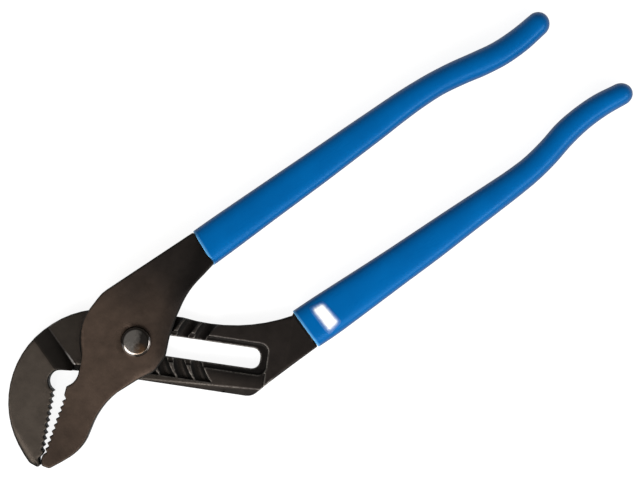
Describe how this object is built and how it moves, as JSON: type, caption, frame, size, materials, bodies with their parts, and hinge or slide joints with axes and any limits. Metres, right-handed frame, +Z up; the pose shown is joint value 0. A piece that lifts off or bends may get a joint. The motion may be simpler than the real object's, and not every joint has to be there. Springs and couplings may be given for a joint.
{
  "type": "tongue and groove pliers",
  "caption": "Adjustable pliers with a hooked jaw on a slotted arm with arc-shaped grooves, a tongue jaw that slides and turns on a domed bolt, and dipped vinyl grips.",
  "frame": {"origin": "on the pivot axis at the first groove, in the plane of the nut's and bolt's lower end, on which the tool rests", "axes": "+X towards the handles, +Y from the channel jaw's handle to the tongue jaw's handle, +Z up along the pivot axis to the bolt's domed head"},
  "size_m": [0.3113, 0.0768, 0.0166],
  "materials": {
    "forged_steel": "black oxide over forged steel, brown-black, satin",
    "polished_bolt": "polished dome, lightly blackened",
    "nut_steel": "black oxide, satin",
    "blue_vinyl": "dipped vinyl, satin gloss"
  },
  "bodies": {
    "channel_half": {"channel_jaw": "forged_steel", "channel_grip": "blue_vinyl"},
    "pivot": {"pivot_bolt": "polished_bolt", "pivot_nut": "nut_steel"},
    "tongue_half": {"tongue_jaw": "forged_steel", "tongue_grip": "blue_vinyl"}
  },
  "joints": [
    {"name": "jaw_adjust", "type": "slide", "parent": "channel_half", "child": "pivot", "axis": [0.7254, -0.6884, 0], "range_m": [0, 0.0468]},
    {"name": "jaw_pivot", "type": "hinge", "parent": "pivot", "child": "tongue_half", "pos_m": [0, 0, 0.0074], "axis": [0, 0, 1], "range_deg": [0, 50]}
  ]
}
